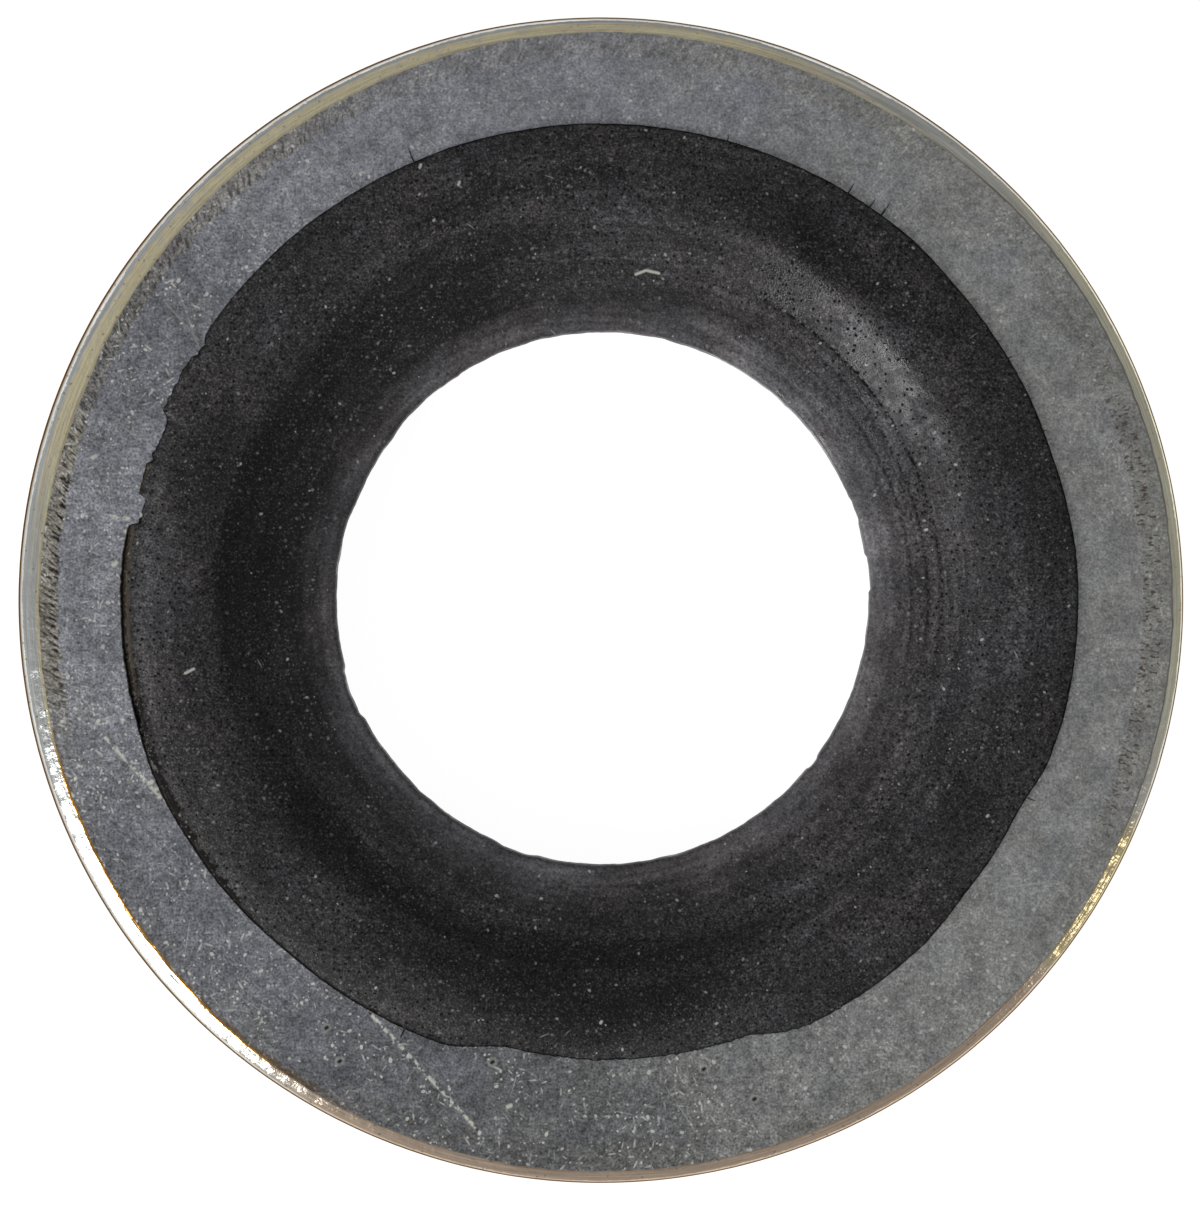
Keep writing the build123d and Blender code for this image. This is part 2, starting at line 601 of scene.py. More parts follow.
def scattered(tree, at, pitch, length, width, share, strength):
    """A mask of small marks, in this share of the cells of this pitch, each turned its own way."""
    grid = {"Vector": at["flat"], "Scale": 1 / pitch}
    middle = add(tree, "TexVoronoi", grid, "Position", voronoi_dimensions="2D")
    luck = add(tree, "SeparateColor", [middle.node.outputs["Color"]])
    angle = add(tree, "Math MULTIPLY", [luck, 2 * math.pi])
    off = add(tree, "VectorMath SUBTRACT", [at["flat"], middle])
    off = add(tree, "VectorRotate", {"Vector": off, "Angle": angle}, rotation_type="Z_AXIS")
    size = add(tree, "MapRange", {0: luck.node.outputs["Blue"], 3: 0.5, 4: 1.3})
    off = add(tree, "VectorMath MULTIPLY", [off, (2 / length, 2 / width, 0)])
    away = add(tree, "VectorMath LENGTH", [off], "Value")
    away = add(tree, "Math DIVIDE", [away, size])
    mark = add(tree, "MapRange", [away, 0.5, 1.0, strength, 0.0])
    kept = add(tree, "Math GREATER_THAN", [luck.node.outputs["Green"], 1 - share])
    return add(tree, "Math MULTIPLY", [mark, kept])


def crowded(tree, at, kinds, crowd):
    """Several kinds of scattered mark, as strong as the crowd. A kind is what scattered takes."""
    strongest = 0.0
    for kind in kinds:
        mark = scattered(tree, at, *kind)
        strongest = add(tree, "Math MAXIMUM", [strongest, mark])
    return add(tree, "Math MULTIPLY", [strongest, crowd])


# %% Grain that follows the ring
def ring_grain(tree, at, pitch_round, pitch_across, slant=0.0, detail=1.0):
    """Noise with one pitch round the ring and another across it, both in mm. The slant leans it."""
    lean = add(tree, "Math MULTIPLY", [at["reach"], slant])
    side = add(tree, "VectorRotate", {"Vector": at["side"], "Angle": lean}, rotation_type="Z_AXIS")
    round_it = add(tree, "VectorMath SCALE", {0: side, "Scale": ring_radius / pitch_round})
    across = add(tree, "Math MULTIPLY", [at["reach"], 1 / pitch_across])
    across = add(tree, "CombineXYZ", {"Z": across})
    both = add(tree, "VectorMath", [round_it, across])
    return add(tree, "TexNoise", {"Vector": both, "Scale": 1.0, "Detail": detail})


# %% Layers of colour
def lay_over(tree, colour, layers):
    """Lays colours over one another, each where its mask says. A layer is a mask and a hex."""
    for mask, layer_colour in layers:
        layer = {0: mask, COLOUR_A: colour, COLOUR_B: linear(layer_colour)}
        colour = add(tree, "Mix", layer, COLOUR_OUT, data_type="RGBA")
    return colour


print("patterns: sector, patches, strokes, scattered, crowded, ring_grain, lay_over")

# %% [markdown]
# ## Zinc plated steel
#
# Low carbon steel with a few micrometres of electroplated zinc and a clear passivate, dulled
# by tumbling in the barrel. Fresh zinc is bright and bluish; here it is clouded, and greyer
# on the side that took fewer knocks. The tumbling leaves a fine grain, small raised points of
# plate, pits, small scuffs in every direction and hairline scratches. The raised points are
# drawn as painted glints: bright spots laid into the colour. The rolled edge was burnished by
# the die: it is smoother and paler, and its thicker passivate has a faint straw tint.

# %% Steel: the colour of the plate
zinc, tree, shader, at = new_finish("clear_zinc_plated_steel")
scuffed_side = sector(tree, at, 212, 55, 120)
cloud = add(tree, "TexNoise", {"Vector": at["place"], "Scale": 0.8, "Detail": 3, "Roughness": 0.65})
cloud = add(tree, "MapRange", [cloud, 0.3, 0.7, 0.4, -0.4])
bluish = sector(tree, at, 165, 60, 130)
bluish = add(tree, "Math", [bluish, cloud], use_clamp=True)
colour = lay_over(tree, linear("#b4b5b4"), [(bluish, "#afb1b9")])
print("coordinates in mm:", sorted(at))

# %% Steel: light and dark over the face
# The first two are the grain: tumbled zinc has grains of about 0.01 mm, drawn at 0.05 mm and
# coarser so that they show. The third is a mottle of a few tenths of a millimetre. They are
# half as strong again on the scuffed side. Each is a pitch in mm and a contrast.
shade = 1.0
contrast = add(tree, "MapRange", {0: scuffed_side, 3: 1.0, 4: 1.5})
for pitch, strength in [(0.05, 1.35), (0.14, 0.90), (0.55, 0.16)]:
    grain = add(tree, "TexNoise", {"Vector": at["place"], "Scale": 1 / pitch, "Detail": 1})
    off = add(tree, "MapRange", {0: grain, 3: -strength / 2, 4: strength / 2})
    off = add(tree, "Math MULTIPLY_ADD", [off, contrast, 1.0])
    shade = add(tree, "Math MULTIPLY", [shade, off])
# Darker patches on the face at these angles: angle, radius, half angle, half width in mm, strength.
darkening_places = [
    (-103, 10.6, 34, 3.0, -0.44),
    (-148, 10.6, 18, 3.0, -0.27),
    (-180, 10.2, 12, 0.9, -0.10),
    (-212, 10.4, 16, 1.6, -0.27),
    (-60, 10.4, 14, 2.0, -0.08),
    (28, 11.2, 6, 0.5, -0.14),
]
darkening = patches(tree, at, darkening_places)
darkening = add(tree, "Math", [darkening, 1.0])
shade = add(tree, "Math MULTIPLY", [shade, darkening])
shade = add(tree, "Math MAXIMUM", [shade, 0.1])
colour = add(tree, "VectorMath SCALE", {0: colour, "Scale": shade})
print("grime patches:", len(darkening_places))

# %% [markdown]
# The roll is found by its lean: the surface normal is no longer upright there. Its inner,
# shallow part has the straw tint of a thick passivate, and its outer part is plain and
# bluish. Its brink, where it turns down into the side, has a dark brown line of painted
# shade. Round one side the whole roll is brownish, where the plate was rubbed thin. Along the
# crease lie painted light and shade: a straw line of painted highlight on one side, a grey
# line of painted shade on the other, and a golden fringe of painted highlight at the edge of
# the tall soft box's highlight. Where the small soft box's highlight falls, the roll has a
# painted gold tint. A mask is a number from 0 to 1 that lays one colour over another.

# %% Steel: the parts of the roll
innermost_roll = 10.85
normal = add(tree, "NewGeometry", out="Normal")
up = add(tree, "SeparateXYZ", [normal], "Z")
lying = add(tree, "Math ABSOLUTE", [up])
not_side = add(tree, "MapRange", [lying, 0.06, 0.25])
rolled = add(tree, "MapRange", [lying, 0.9995, 0.988])
outside = add(tree, "Math GREATER_THAN", [at["reach"], innermost_roll])
rolled = add(tree, "Math MULTIPLY", [rolled, outside])
not_rolled = add(tree, "Math SUBTRACT", [1.0, rolled])
ragged = add(tree, "TexNoise", {"Vector": at["place"], "Scale": 4.0, "Detail": 3})
ragged = add(tree, "MapRange", {0: ragged, 3: -0.08, 4: 0.08})
ragged_up = add(tree, "Math", [up, ragged])
outer_roll = add(tree, "MapRange", [ragged_up, 0.952, 0.885])
crease_line = add(tree, "MapRange", [up, 0.9575, 0.965])
blue_side = sector(tree, at, 130, 62, 95)
# A straw line along the crease on the bluish side, a painted highlight, joins the passivate's straw
# tint in one mask.
straw_highlight_line = add(tree, "Math MULTIPLY", [blue_side, crease_line])
straw_tint_and_line = sector(tree, at, 118, 40, 62)
straw_tint_and_line = add(tree, "Mix", {0: outer_roll, 2: straw_tint_and_line, 3: 0.0})
straw_tint_and_line = add(tree, "Math MAXIMUM", [straw_tint_and_line, straw_highlight_line])
# Along the crease: a golden fringe at the tall soft box's highlight, which is painted highlight, and a
# grey line on the other side, which is painted shade.
highlight_fringe, crease_shade = (
    add(tree, "Math MULTIPLY", [sector(tree, at, *side), crease_line])
    for side in [(-144, 17, 24), (8, 34, 52)]
)
# The gold is a painted tint where the small soft box's highlight falls on the roll.
brown_side, small_box_glint_tint, pale_straw = (
    add(tree, "Math MULTIPLY", [sector(tree, at, *side), not_side])
    for side in [(-80, 36, 48), (-31, 6, 10), (14, 18, 34)]
)
# The brown line at the brink, where the roll turns down into the side, is painted shade.
brink = add(tree, "MapRange", [up, 0.68, 0.48])
above_side = add(tree, "MapRange", [at["height"], 0.46, 0.58])
for part in (above_side, not_side):
    brink = add(tree, "Math MULTIPLY", [brink, part])
drawn = ring_grain(tree, at, 1.6, 0.03, detail=2)
drawn = add(tree, "MapRange", [drawn, 0.3, 0.7, 0.82, 1.18])
print("nodes so far:", len(tree.nodes))

# %% Steel: the colours of the roll
# Of these layers, the straw line and golden fringe along the crease and the gold at the small box's
# highlight are painted highlights; the grey crease line and the brown brink line are painted shade.
roll_layers = [
    (blue_side, "#d3d5d2"),
    (pale_straw, "#ece8d0"),
    (straw_tint_and_line, "#fbeec8"),
    (crease_shade, "#a9a7a0"),
    (highlight_fringe, "#d09a48"),
    (brown_side, "#d2bda8"),
    (small_box_glint_tint, "#d6c8a2"),
    (brink, "#6b5232"),
]
roll_colour = lay_over(tree, linear("#e2dfd4"), roll_layers)
roll_colour = add(tree, "VectorMath SCALE", {0: roll_colour, "Scale": drawn})
roll_layer = {0: rolled, COLOUR_A: colour, COLOUR_B: roll_colour}
colour = add(tree, "Mix", roll_layer, COLOUR_OUT, data_type="RGBA")
print("roll layers:", len(roll_layers))

# %% [markdown]
# Just inside the roll the skin was strained and is torn in short lines that run across the
# ring. They are deepest on one side, finer on the opposite side, and end at a faint circle
# where the die's clamp plate stopped. On that opposite side they hold specks of rust. Beside
# the roll, at the tall soft box's highlight, a ragged brown band of painted shade edges it.

# %% Steel: the strained skin
clamp_circle = 11.04
tears = ring_grain(tree, at, 0.075, 0.20, slant=0.05, detail=2)
tear_sides = [(175, 9, 22, 1.0), (155, 25, 50, 0.60), (2, 15, 42, 0.18), (100, 30, 60, 0.25)]
torn = 0.12
for side in tear_sides:
    torn = add(tree, "Math MAXIMUM", [torn, sector(tree, at, *side)])
ragged_reach = add(tree, "Math MULTIPLY_ADD", [ragged, 1.5, at["reach"]])
band = add(tree, "MapRange", [ragged_reach, clamp_circle, clamp_circle + 0.06])
for part in (not_rolled, torn):
    band = add(tree, "Math MULTIPLY", [band, part])
olive = add(tree, "Math MULTIPLY", [band, 1.1], use_clamp=True)
deepest = add(tree, "MapRange", [ragged_reach, 11.18, 11.34, 1.0, 0.6])
band = add(tree, "Math MULTIPLY", [band, deepest])
tear_shade = add(tree, "MapRange", [tears, 0.38, 0.54, 0.12, 1.45])
tear_shade = add(tree, "Mix", {0: band, 2: 1.0, 3: tear_shade})
colour = add(tree, "VectorMath SCALE", {0: colour, "Scale": tear_shade})
olive = {0: olive, COLOUR_A: colour, COLOUR_B: linear("#f1e8d3")}
colour = add(tree, "Mix", olive, COLOUR_OUT, data_type="RGBA", blend_type="MULTIPLY")
rust = ring_grain(tree, at, 0.07, 0.14, detail=1)
rust = add(tree, "MapRange", [rust, 0.57, 0.65])
clamped = add(tree, "Math COMPARE", [at["reach"], clamp_circle + 0.20, 0.20])
for part in (sector(tree, at, 0, 10, 38, 0.85), clamped):
    rust = add(tree, "Math MULTIPLY", [rust, part])
# A ragged brown band of painted shade beside the tall soft box's highlight.
fringe_shade = add(tree, "MapRange", [ragged_reach, 11.43, 11.52, 0.0, 0.7])
for part in (sector(tree, at, -144, 20, 30), not_rolled):
    fringe_shade = add(tree, "Math MULTIPLY", [fringe_shade, part])
circle = add(tree, "Math COMPARE", [at["reach"], clamp_circle, 0.015])
circle = add(tree, "Math MULTIPLY", [circle, sector(tree, at, -12, 22, 50, 0.12)])
print("sides of the strained skin:", len(tear_sides))

# %% Steel: scattered spots, scuffs and hairlines
# Each kind: pitch, length and width in mm, share of cells that have one, and strength. The
# first two kinds are small spots, painted glints where raised points of the plate catch the
# light; the others are scuffs and hairlines. The spots and scuffs are drawn at about twice
# their real width, so that they show.
mark_kinds = [
    (0.13, 0.060, 0.050, 0.40, 0.60),
    (0.30, 0.100, 0.070, 0.40, 1.00),
    (0.25, 0.200, 0.045, 0.50, 0.45),
    (0.80, 0.650, 0.024, 0.35, 0.30),
    (2.60, 2.200, 0.018, 0.60, 0.38),
]
crowd = add(tree, "TexNoise", {"Vector": at["place"], "Scale": 1.6, "Detail": 3})
crowd = add(tree, "MapRange", [crowd, 0.42, 0.58, 0.15, 1.5])
crowd_side = add(tree, "MapRange", {0: scuffed_side, 3: 0.55, 4: 1.15})
crowd = add(tree, "Math MULTIPLY", [crowd, crowd_side])
marks = crowded(tree, at, mark_kinds, crowd)
marks = add(tree, "Math MULTIPLY", [marks, not_rolled])
# Small dark specks on the face and the roll.
dark_specks = crowded(tree, at, [(0.17, 0.070, 0.045, 0.30, 0.45)], crowd_side)
dark_specks = add(tree, "Math MULTIPLY", [dark_specks, not_side])
print("kinds of mark:", len(mark_kinds))

# %% Steel: scratches and pits in known places
long_scratches = [
    (-10.14, -2.76, -8.81, -4.19),
    (-4.92, -8.18, -2.47, -10.84),
    (-10.10, 1.70, -9.62, 1.66),
]
bright_spots = [
    (-9.93, 0.72),
    (-1.89, -10.33),
    (-8.80, 3.50),
    (-9.34, 2.14),
    (-10.35, 2.90),
    (-9.00, -4.02),
    (-9.10, -3.88),
    (-9.20, -3.74),
]
fine_scratches = [
    (7.72, -6.28, 7.86, -6.03),
    (7.86, -6.03, 8.35, -5.84),
    (8.35, -5.84, 8.99, -5.77),
    (6.23, 9.20, 5.41, 8.28),
    (6.45, 9.05, 5.70, 8.20),
    (-8.9, 6.1, -8.2, 5.3),
    (-8.6, 6.3, -8.1, 4.9),
]
pits = [(-5.60, -8.73), (-5.33, -9.41), (-2.22, -9.43), (2.09, -9.57), (3.12, -10.18)]
pit_lines = [(x, y, x + 0.03, y + 0.02) for x, y in pits]
on_top = add(tree, "Math GREATER_THAN", [at["height"], 0.5])
broken = add(tree, "TexNoise", {"Vector": at["place"], "Scale": 9.0, "Detail": 1})
broken = add(tree, "MapRange", [broken, 0.46, 0.58])
placed = strokes(tree, at, long_scratches, 0.055)
placed = add(tree, "Math MULTIPLY", [placed, broken])
fine = strokes(tree, at, fine_scratches, 0.03, 0.25)
rims = strokes(tree, at, pit_lines, 0.11, 0.5)
spots = strokes(tree, at, [(x, y, x + 0.06, y + 0.03) for x, y in bright_spots], 0.06)
for part in (fine, rims, spots):
    placed = add(tree, "Math MAXIMUM", [placed, part])
placed = add(tree, "Math MULTIPLY", [placed, on_top])
pit_hearts = strokes(tree, at, pit_lines, 0.06)
pit_hearts = add(tree, "Math MULTIPLY", [pit_hearts, on_top])
print("scratches:", len(long_scratches) + len(fine_scratches), "pits:", len(pits))

# %% Steel: lay the marks over the plate
# The bright scattered spots in these layers are painted glints; the scuffs and scratches are the
# plate's own.
mark_layers = [
    (dark_specks, "#55565a"),
    (rust, "#6d5c55"),
    (fringe_shade, "#7a6238"),
    (circle, "#f0f0ea"),
    (marks, "#f4f4ee"),
    (placed, "#f8f7ee"),
    (pit_hearts, "#3c3b3a"),
]
colour = lay_over(tree, colour, mark_layers)
tree.links.new(colour, shader.inputs["Base Color"])
shader.inputs["Metallic"].default_value = 1.0
shader.inputs["Specular Tint"].default_value = linear("#a89c8c")

# %% [markdown]
# Roughness: the tumbled face is dull and the burnished roll smoother. The relief that feeds
# the bump is a few micrometres: the grain of the face, the torn skin, and on the roll fine
# lines along the ring and shallow knocks. On the side, the upper, sheared part of the cut
# has upright drag lines and the lower, torn part is rough.

# %% Steel: roughness and relief
rough = add(tree, "MapRange", [grain, 0.3, 0.7, 0.38, 0.50])
cut_rough = add(tree, "MapRange", [at["height"], -0.05, -0.2, 0.155, 0.5])
rough = add(tree, "Mix", {0: rolled, 2: rough, 3: cut_rough})
tree.links.new(rough, shader.inputs["Roughness"])

reliefs = [(16.0, 1), (7.0, 2), (6.0, 2)]
fine_grain, torn_relief, knocks = (
    add(tree, "TexNoise", {"Vector": at["place"], "Scale": scale, "Detail": detail})
    for scale, detail in reliefs
)
upright = add(tree, "VectorMath MULTIPLY", [at["place"], (9, 9, 0.8)])
drag = add(tree, "TexNoise", {"Vector": upright, "Scale": 1.0, "Detail": 1})
round_lines = ring_grain(tree, at, 1.2, 0.05)
round_lines = add(tree, "Math MULTIPLY_ADD", [knocks, 2.5, round_lines])
on_side = add(tree, "MapRange", [up, 0.3, 0.1])
torn_part = add(tree, "MapRange", [at["height"], -0.05, -0.2])
cut_relief = add(tree, "Mix", {0: torn_part, 2: drag, 3: torn_relief})
cut_relief = add(tree, "Math MULTIPLY", [cut_relief, 2.0])
roll_relief = add(tree, "Mix", {0: on_side, 2: round_lines, 3: cut_relief})
relief = add(tree, "Mix", {0: rolled, 2: fine_grain, 3: roll_relief})
relief = add(tree, "Math MULTIPLY_ADD", [tears, band, relief])
bump = add(tree, "Bump", {"Height": relief, "Distance": 0.004 * MM, "Strength": 1.0})
tree.links.new(bump, shader.inputs["Normal"])
steel.data.materials.append(zinc)
print("steel nodes:", len(tree.nodes))

# %% [markdown]
# ## Black rubber
#
# Nitrile rubber filled with carbon black, cured in a turned steel mould. The skin is matt
# with a fine grain, and darker and lighter in clouds. The clouds are mostly painted light and
# shade: lighter where a slope faces a soft box, as on the lit patch of the inner cone, and
# darker on slopes turned away from the light, with a little mottle of the skin's own.
# Dust and a pale bloom sit on it as fine light specks, the filler gives the black a faint
# warm cast in places, and the thin lip at the bore is worn pale.

# %% Rubber: the black and its cast
rubber, tree, shader, at = new_finish("moulded_nitrile_rubber")
cast = add(tree, "TexNoise", {"Vector": at["place"], "Scale": 0.5, "Detail": 2})
cast = add(tree, "MapRange", [cast, 0.4, 0.6])
colour = lay_over(tree, linear("#2c2c2e"), [(cast, "#2f2d2e")])
print("coordinates in mm:", sorted(at))

# %% Rubber: clouds in the skin
# Each: angle, radius, half angle, half width in mm, and how much lighter or darker. Most are
# painted light and shade, set round the ring where the slopes face the soft boxes or turn
# away from them. The sum is an exponent, so that clouds which overlap multiply and none ends
# in a hard edge.
light_and_shade_clouds = [
    (-92, 8.20, 30, 0.55, -1.12),
    (-92, 7.35, 30, 0.40, -0.68),
    (-136, 7.40, 20, 0.50, -0.90),
    (-186, 7.30, 24, 0.60, -1.12),
    (-198, 8.45, 10, 0.60, -0.68),
    (-190, 6.50, 18, 0.40, -0.75),
    (-218, 7.20, 20, 0.80, -0.52),
    (-246, 7.15, 17, 0.80, -0.90),
    (-248, 6.40, 10, 0.30, -0.90),
    (-300, 8.45, 18, 0.45, -0.98),
    (-262, 8.60, 18, 0.35, -0.45),
    (-31, 8.60, 8, 0.55, -0.83),
    (-141, 8.80, 8, 0.35, -0.75),
    (-170, 8.95, 14, 0.35, 0.32),
    (-180, 9.30, 18, 0.25, 0.58),
    (-273, 7.60, 14, 1.50, 0.25),
    (-322, 6.50, 44, 0.60, 0.32),
    (-8, 8.10, 16, 0.80, 0.32),
    (-335, 7.60, 30, 0.60, 0.18),
    (15, 6.50, 85, 1.00, 0.54),
    (165, 6.80, 65, 1.30, -0.60),
    (-90, 8.60, 16, 0.60, -0.80),
    (90, 8.60, 14, 0.60, 0.22),
    (-314, 7.45, 20, 0.40, 0.43),
    (0, 8.60, 14, 0.60, 0.30),
    (-90, 7.60, 22, 1.20, -0.40),
    (0, 5.60, 22, 0.35, 0.40),
    (174, 7.70, 9, 0.35, -0.60),
    (158, 7.60, 7, 0.40, -0.60),
    (141, 7.85, 6, 0.30, 0.30),
]
drift = ring_grain(tree, at, 2.6, 0.7, detail=3)
drift = add(tree, "MapRange", [drift, 0.3, 0.7, -0.45, 0.45])
shade = add(tree, "Math", [patches(tree, at, light_and_shade_clouds), drift])
shade = add(tree, "Math EXPONENT", [shade])
print("clouds:", len(light_and_shade_clouds))

# %% Rubber: the worn lip and the mould's turning marks
# The lip is rubbed pale by the bolt. The mould's turning marks are 0.1 mm apart and finer,
# and they are plainest on the cones inside the crown.
lip_wear = add(tree, "MapRange", [at["reach"], 6.15, 5.5, 1.0, 3.3])
shade = add(tree, "Math MULTIPLY", [shade, lip_wear])
turned = add(tree, "MapRange", [at["reach"], 7.7, 8.2, 1.0, 0.35])
for pitch, strength in [(0.10, 0.25), (0.28, 0.32)]:
    streak = ring_grain(tree, at, 40 * pitch, pitch, detail=1)
    streak = add(tree, "MapRange", [streak, 0.3, 0.7, -strength, strength])
    streak = add(tree, "Math MULTIPLY_ADD", [streak, turned, 1.0])
    shade = add(tree, "Math MULTIPLY", [shade, streak])
print("nodes so far:", len(tree.nodes))

# %% Rubber: grain
# The filler's grain is far too fine to show, so it is drawn at 0.045, 0.12 and 0.3 mm. Its
# high points carry small painted glints, as strong where the skin is darkest. Near the bore
# the skin is worn smooth.
skin = add(tree, "MapRange", [at["reach"], 5.6, 7.0, 0.45, 1.0])
for pitch, low, high in [(0.30, 0.80, 1.20), (0.12, 0.55, 1.45), (0.045, 0.35, 1.65)]:
    grain = add(tree, "TexNoise", {"Vector": at["place"], "Scale": 1 / pitch, "Detail": 1})
    grain_shade = add(tree, "MapRange", [grain, 0.3, 0.7, low, high])
    grain_shade = add(tree, "Mix", {0: skin, 2: 1.0, 3: grain_shade})
    shade = add(tree, "Math MULTIPLY", [shade, grain_shade])
# Painted glints on the grain's high points.
grain_glints = add(tree, "MapRange", [grain, 0.54, 0.72, 0.0, 1.3])
grain_glints = add(tree, "Math MULTIPLY", [grain_glints, skin])
shade = add(tree, "Math", [shade, grain_glints])
shade = add(tree, "Math MAXIMUM", [shade, 0.03])
colour = add(tree, "VectorMath SCALE", {0: colour, "Scale": shade})
print("nodes with the grain:", len(tree.nodes))

# %% Rubber: a dark border beside the steel on one side, and dry silt in the wide groove
dark_border = add(tree, "TexNoise", {"Vector": at["place"], "Scale": 6.0, "Detail": 3})
dark_border = add(tree, "Math MULTIPLY_ADD", [dark_border, 0.45, at["reach"]])
dark_border = add(tree, "MapRange", [dark_border, 9.71, 9.82, 0.0, 0.92])
dark_border = add(tree, "Math MULTIPLY", [dark_border, sector(tree, at, -140, 28, 48)])
silt = add(tree, "MapRange", [at["reach"], 9.57, 9.62])
silt = add(tree, "Math MULTIPLY", [silt, sector(tree, at, 176, 10, 18)])
print("dirt beside the steel: oily, silt")

# %% Rubber: dust, lint and bloom
# Kinds of speck: pitch, length and width in mm, share of cells, and strength. The first
# two are dust and bloom, the others flecks. None of it stays on the upright wall of the bore.
dust_kinds = [(0.10, 0.052, 0.045, 0.40, 0.40), (0.25, 0.080, 0.060, 0.40, 0.75)]
fleck_kinds = [(0.60, 0.080, 0.055, 0.45, 1.00), (1.10, 0.220, 0.030, 0.20, 0.50)]
crowd = add(tree, "TexNoise", {"Vector": at["place"], "Scale": 1.3, "Detail": 3})
crowd = add(tree, "MapRange", [crowd, 0.38, 0.62, 0.15, 1.2])
normal = add(tree, "NewGeometry", out="Normal")
lying = add(tree, "SeparateXYZ", [normal], "Z")
lying = add(tree, "Math ABSOLUTE", [lying])
lying = add(tree, "MapRange", [lying, 0.3, 0.6])
crowd = add(tree, "Math MULTIPLY", [crowd, lying])
dust, flecks = (crowded(tree, at, kinds, crowd) for kinds in (dust_kinds, fleck_kinds))
pores = crowded(tree, at, [(0.15, 0.085, 0.065, 0.50, 1.0)], skin)
pores = add(tree, "Math MULTIPLY", [pores, lying])
on_top = add(tree, "Math GREATER_THAN", [at["height"], 0.3])
lint_lines = [
    (-3.68, 8.80, -3.66, 8.86),
    (-2.89, 8.44, -2.87, 8.50),
    (0.72, 6.65, 0.93, 6.73),
    (0.93, 6.73, 1.19, 6.67),
    (-8.44, -1.49, -8.27, -1.40),
    (0.0, -8.60, 0.02, -8.57),
    (7.86, -4.40, 7.88, -4.38),
    (6.63, 1.43, 6.66, 1.44),
]
lint = strokes(tree, at, lint_lines, 0.04)
lint = add(tree, "Math MULTIPLY", [lint, on_top])
print("kinds of speck:", len(dust_kinds) + len(fleck_kinds), "lint:", len(lint_lines))

# %% Rubber: painted highlights and painted shade along the lathe rings and the groove
def ring_lines(lines, clumps):
    """Thin lines along the ring, broken by clumps: radius, angle, half angle and strength."""
    mask = 0.0
    for radius, angle, half_angle, strength in lines:
        line = add(tree, "Math SUBTRACT", [at["reach"], radius])
        line = add(tree, "Math ABSOLUTE", [line])
        line = add(tree, "MapRange", [line, 0.015, 0.07, strength, 0.0])
        line = add(tree, "Math MULTIPLY", [line, sector(tree, at, angle, half_angle * 0.6, half_angle)])
        mask = add(tree, "Math MAXIMUM", [mask, line])
    return add(tree, "Math MULTIPLY", [mask, clumps])


# Light lines are painted highlights where the crest, the lathe rings and the groove's edge catch the
# light; dark lines are painted shade in the lathe rings.
light_lines = [
    (7.90, 155, 40, 0.3),
    (7.86, 75, 25, 0.3),
    (6.97, 100, 14, 0.6),
    (7.20, 125, 30, 0.3),
    (6.60, 130, 32, 0.3),
    (6.33, 140, 38, 0.4),
    (9.69, 180, 30, 0.9),
]
dark_lines = [
    (6.97, 25, 45, 1.0),
    (6.69, 20, 35, 0.9),
    (6.50, 16, 24, 0.6),
    (6.36, 12, 30, 0.8),
    (6.97, 150, 45, 0.6),
    (6.28, 145, 55, 0.6),
]
clumps = add(tree, "TexNoise", {"Vector": at["place"], "Scale": 13.0, "Detail": 1})
light_clumps = add(tree, "MapRange", [clumps, 0.54, 0.68])
dark_clumps = add(tree, "MapRange", [clumps, 0.40, 0.56, 1.0, 0.25])
ring_highlights = ring_lines(light_lines, light_clumps)
ring_shade = ring_lines(dark_lines, dark_clumps)
print("ring lines:", len(light_lines), "light,", len(dark_lines), "dark")

# %% Rubber: lay dust and lint over the black
# The light and dark ring lines among these layers are painted highlight and painted shade.
speck_layers = [
    (dark_border, "#0f0c08"),
    (silt, "#3d362b"),
    (pores, "#0e0e0e"),
    (ring_shade, "#0c0c0c"),
    (ring_highlights, "#6c6c6a"),
    (dust, "#797877"),
    (flecks, "#a3a2a1"),
    (lint, "#b9b5ae"),
]
colour = lay_over(tree, colour, speck_layers)
tree.links.new(colour, shader.inputs["Base Color"])
shader.inputs["Specular IOR Level"].default_value = 0.27
patchy = add(tree, "TexNoise", {"Vector": at["place"], "Scale": 1.7, "Detail": 4, "Roughness": 0.7})
polished = sector(tree, at, 46, 12, 22)
polished = add(tree, "MapRange", {0: polished, 3: -0.08, 4: 0.05})
patchy = add(tree, "Math SUBTRACT", [patchy, polished])
rough = add(tree, "MapRange", [patchy, 0.36, 0.58, 0.17, 0.62])
for dull in (pores, ring_shade, dark_border):
    rough = add(tree, "Math MAXIMUM", [rough, dull])
tree.links.new(rough, shader.inputs["Roughness"])
relief = add(tree, "TexNoise", {"Vector": at["place"], "Scale": 24.0, "Detail": 1})
bump = add(tree, "Bump", {"Height": relief, "Distance": 0.010 * MM, "Strength": 1.0})
tree.links.new(bump, shader.inputs["Normal"])
seal.data.materials.clear()
seal.data.materials.append(rubber)
print("rubber nodes:", len(tree.nodes))

# %% Put the pieces in the frame
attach(steel, "root")
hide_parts("steel_ring")
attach(seal, "root")
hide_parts("rubber_seal")
print("pieces:", steel.name, seal.name)

# %% [markdown]
# ## Studio
#
# The washer lies on a white table, and the camera looks straight down on it with a long
# lens. The frame's long side is its height, so the sensor's width spans it.

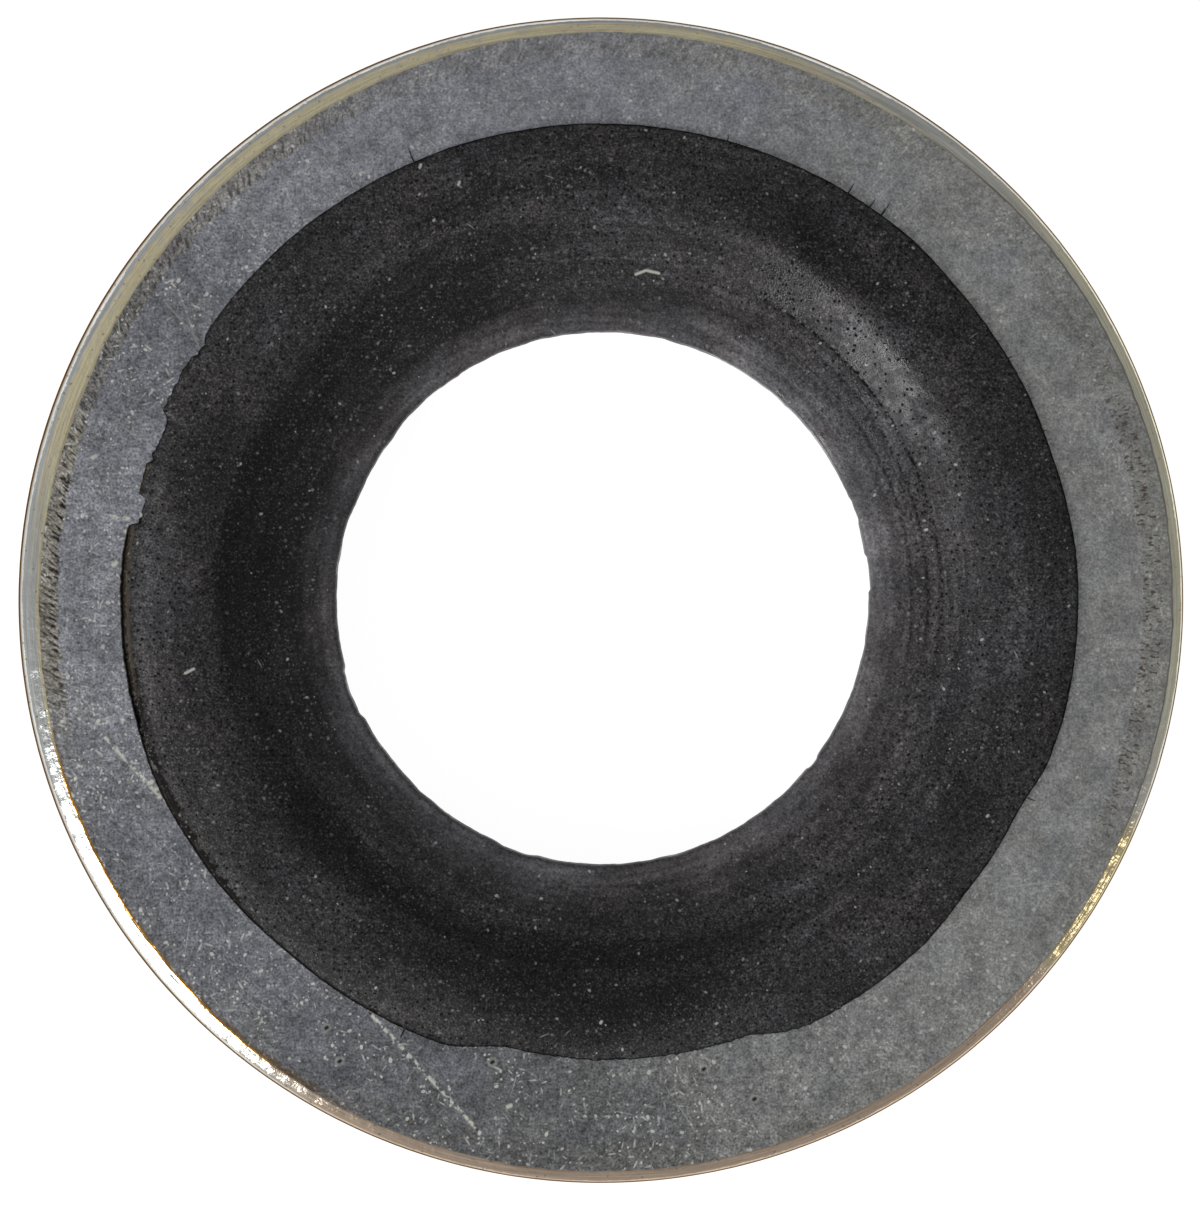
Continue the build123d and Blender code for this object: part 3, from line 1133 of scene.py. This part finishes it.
# %% Camera
frame_height = 24.82
lens = 200
sensor = 36
edge_height = 0.5
centre_x, centre_y = -0.012, -0.143
camera_data = bpy.data.cameras.new("long_lens")
camera_data.lens = lens
camera_data.sensor_width = sensor
camera_data.clip_start = 0.01
camera = new_object("long_lens", camera_data)
camera_height = edge_height + lens * frame_height / sensor
camera.location = (centre_x * MM, centre_y * MM, camera_height * MM)
bpy.context.scene.camera = camera
print("camera height, mm:", round(camera_height, 1))

# %% [markdown]
# The table is a flat sheet under the rubber. Its own diffuse colour takes the washer's
# shadow, and it glows for what the camera sees, directly or in the metal, so that it comes
# out white without more light on the washer.

# %% Table
table_mesh = bpy.data.meshes.new("white_table")
half_table = 0.6
corners = [(-1, -1), (1, -1), (1, 1), (-1, 1)]
table_points = [(x * half_table, y * half_table, rubber_low.z) for x, y in corners]
table_mesh.from_pydata(table_points, [], [(0, 1, 2, 3)])
table = new_object("white_table", table_mesh)
white_card = bpy.data.materials.new("white_card")
white_card.use_nodes = True
tree = white_card.node_tree
tree.nodes.clear()
ray = add(tree, "LightPath", out="Is Camera Ray")
seen = add(tree, "Math MAXIMUM", [ray, ray.node.outputs["Is Glossy Ray"]])
seen = add(tree, "Math MAXIMUM", [seen, ray.node.outputs["Is Transmission Ray"]])
glow = add(tree, "Math MULTIPLY", [seen, 0.95])
lit = add(tree, "BsdfDiffuse", {"Color": linear("#808080")})
white = add(tree, "Emission", {"Strength": glow})
surface = add(tree, "AddShader", [lit, white])
output = tree.nodes.new("ShaderNodeOutputMaterial")
tree.links.new(surface, output.inputs["Surface"])
table_mesh.materials.append(white_card)
print("table at, mm:", round(rubber_low.z / MM, 3))

# %% [markdown]
# Light: a tall soft box stands low on one side and rakes the rubber, and a small one
# stands on the other side. The room is grey, a little brighter towards the tall box, and
# darker overhead, where a camera on its stand keeps the light off.

# %% Lamps and room
lamp_distance = 0.3


def soft_box(name, angle, elevation, width, height, radiance, colour):
    """A rectangular lamp that faces the washer, from this angle and elevation."""
    lamp_data = bpy.data.lights.new(name, "AREA")
    lamp_data.shape = "RECTANGLE"
    lamp_data.size = width
    lamp_data.size_y = height
    lamp_data.energy = radiance * math.pi * width * height
    lamp_data.color = linear(colour)[:3]
    lamp = new_object(name, lamp_data)
    turned, raised = math.radians(angle), math.radians(elevation)
    level = math.cos(raised)
    towards = (math.cos(turned) * level, math.sin(turned) * level, math.sin(raised))
    lamp.location = [lamp_distance * side for side in towards]
    lamp.rotation_euler = (math.radians(90 - elevation), 0, turned + math.pi / 2)


soft_box("tall_softbox", -144, 30, 0.12, 0.24, 7.3, "#ffffff")
soft_box("small_softbox", -32, 31, 0.020, 0.19, 3.2, "#fff8ea")

world = bpy.data.worlds.new("grey_room")
bpy.context.scene.world = world
world.use_nodes = True
tree = world.node_tree
tree.nodes.clear()
direction = add(tree, "TexCoord", out="Generated")
bright_side = (-0.8, -0.6, 0.0)
facing = add(tree, "VectorMath DOT_PRODUCT", [direction, bright_side], "Value")
level = add(tree, "MapRange", [facing, -1.0, 1.0, 0.36, 0.62])
up = add(tree, "SeparateXYZ", [direction], "Z")
overhead = add(tree, "MapRange", [up, 0.70, 0.97, 1.0, 0.62], interpolation_type="SMOOTHSTEP")
level = add(tree, "Math MULTIPLY", [level, overhead])
background = add(tree, "Background", {"Strength": level})
output = tree.nodes.new("ShaderNodeOutputWorld")
tree.links.new(background, output.inputs["Surface"])
bpy.context.scene.view_settings.view_transform = "Standard"
